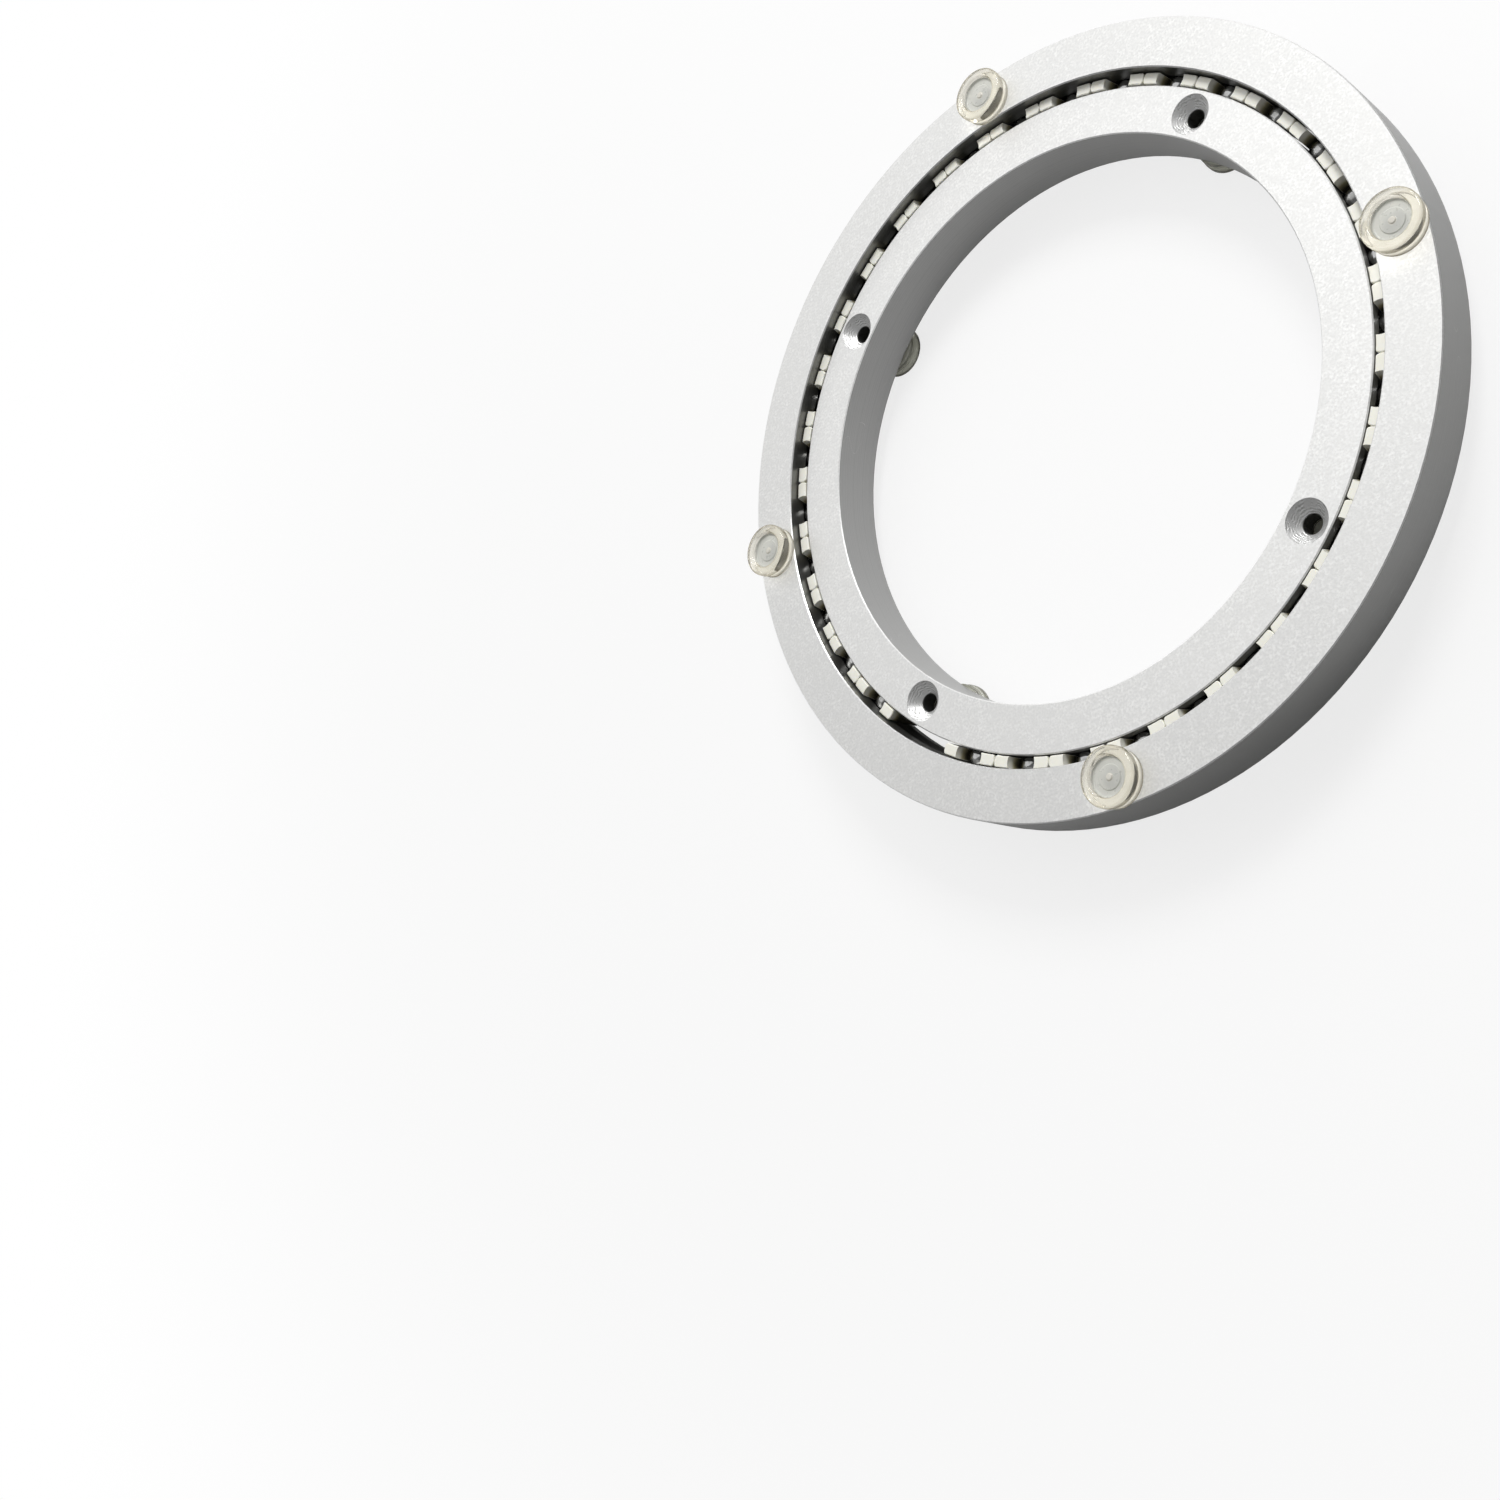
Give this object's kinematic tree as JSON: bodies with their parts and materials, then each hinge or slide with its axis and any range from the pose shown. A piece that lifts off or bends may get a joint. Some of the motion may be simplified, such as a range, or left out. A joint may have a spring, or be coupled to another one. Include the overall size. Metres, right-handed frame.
{
  "type": "turntable ring bearing",
  "caption": "Flat aluminium ring bearing that turns on a chain of ball links, with countersunk holes and soft feet, for a table-top turntable.",
  "frame": {"origin": "on the bearing's axis, in the plane that the base feet stand on", "axes": "+Z along the bearing's axis, up; +X lies 45 degrees from the inner ring's screw holes"},
  "size_m": [0.141, 0.141, 0.0182],
  "materials": {
    "ring_aluminium": "fine blasted satin, turned walls",
    "link_plastic": "moulded ivory plastic",
    "ball_steel": "polished bearing steel",
    "soft_foot": "clear soft plastic, slightly yellow"
  },
  "bodies": {
    "base": {"inner_ring": "ring_aluminium", "base_foot_1": "soft_foot", "base_foot_2": "soft_foot", "base_foot_3": "soft_foot", "base_foot_4": "soft_foot"},
    "turntable": {"outer_ring": "ring_aluminium", "top_foot_1": "soft_foot", "top_foot_2": "soft_foot", "top_foot_3": "soft_foot", "top_foot_4": "soft_foot"},
    "ball_chain": {"cage_link_01": "link_plastic", "cage_link_02": "link_plastic", "cage_link_03": "link_plastic", "cage_link_04": "link_plastic", "cage_link_05": "link_plastic", "cage_link_06": "link_plastic", "cage_link_07": "link_plastic", "cage_link_08": "link_plastic", "cage_link_09": "link_plastic", "cage_link_10": "link_plastic", "cage_link_11": "link_plastic", "cage_link_12": "link_plastic", "cage_link_13": "link_plastic", "cage_link_14": "link_plastic", "cage_link_15": "link_plastic", "cage_link_16": "link_plastic", "cage_link_17": "link_plastic", "cage_link_18": "link_plastic", "cage_link_19": "link_plastic", "cage_link_20": "link_plastic", "cage_link_21": "link_plastic", "cage_link_22": "link_plastic", "cage_link_23": "link_plastic", "cage_link_24": "link_plastic", "cage_link_25": "link_plastic", "cage_link_26": "link_plastic", "cage_link_27": "link_plastic", "cage_link_28": "link_plastic", "cage_link_29": "link_plastic", "cage_link_30": "link_plastic", "cage_link_31": "link_plastic", "cage_link_32": "link_plastic", "bearing_balls": "ball_steel"}
  },
  "joints": [
    {"name": "turntable_spin", "type": "hinge", "parent": "base", "child": "turntable", "pos_m": [0, 0, 0.0091], "axis": [0, 0, 1], "continuous": true},
    {"name": "chain_spin", "type": "hinge", "parent": "base", "child": "ball_chain", "pos_m": [0, 0, 0.0091], "axis": [0, 0, 1], "continuous": true}
  ],
  "couplings": [
    {"joint": "chain_spin", "follows": "turntable_spin", "ratio": 0.5209}
  ]
}
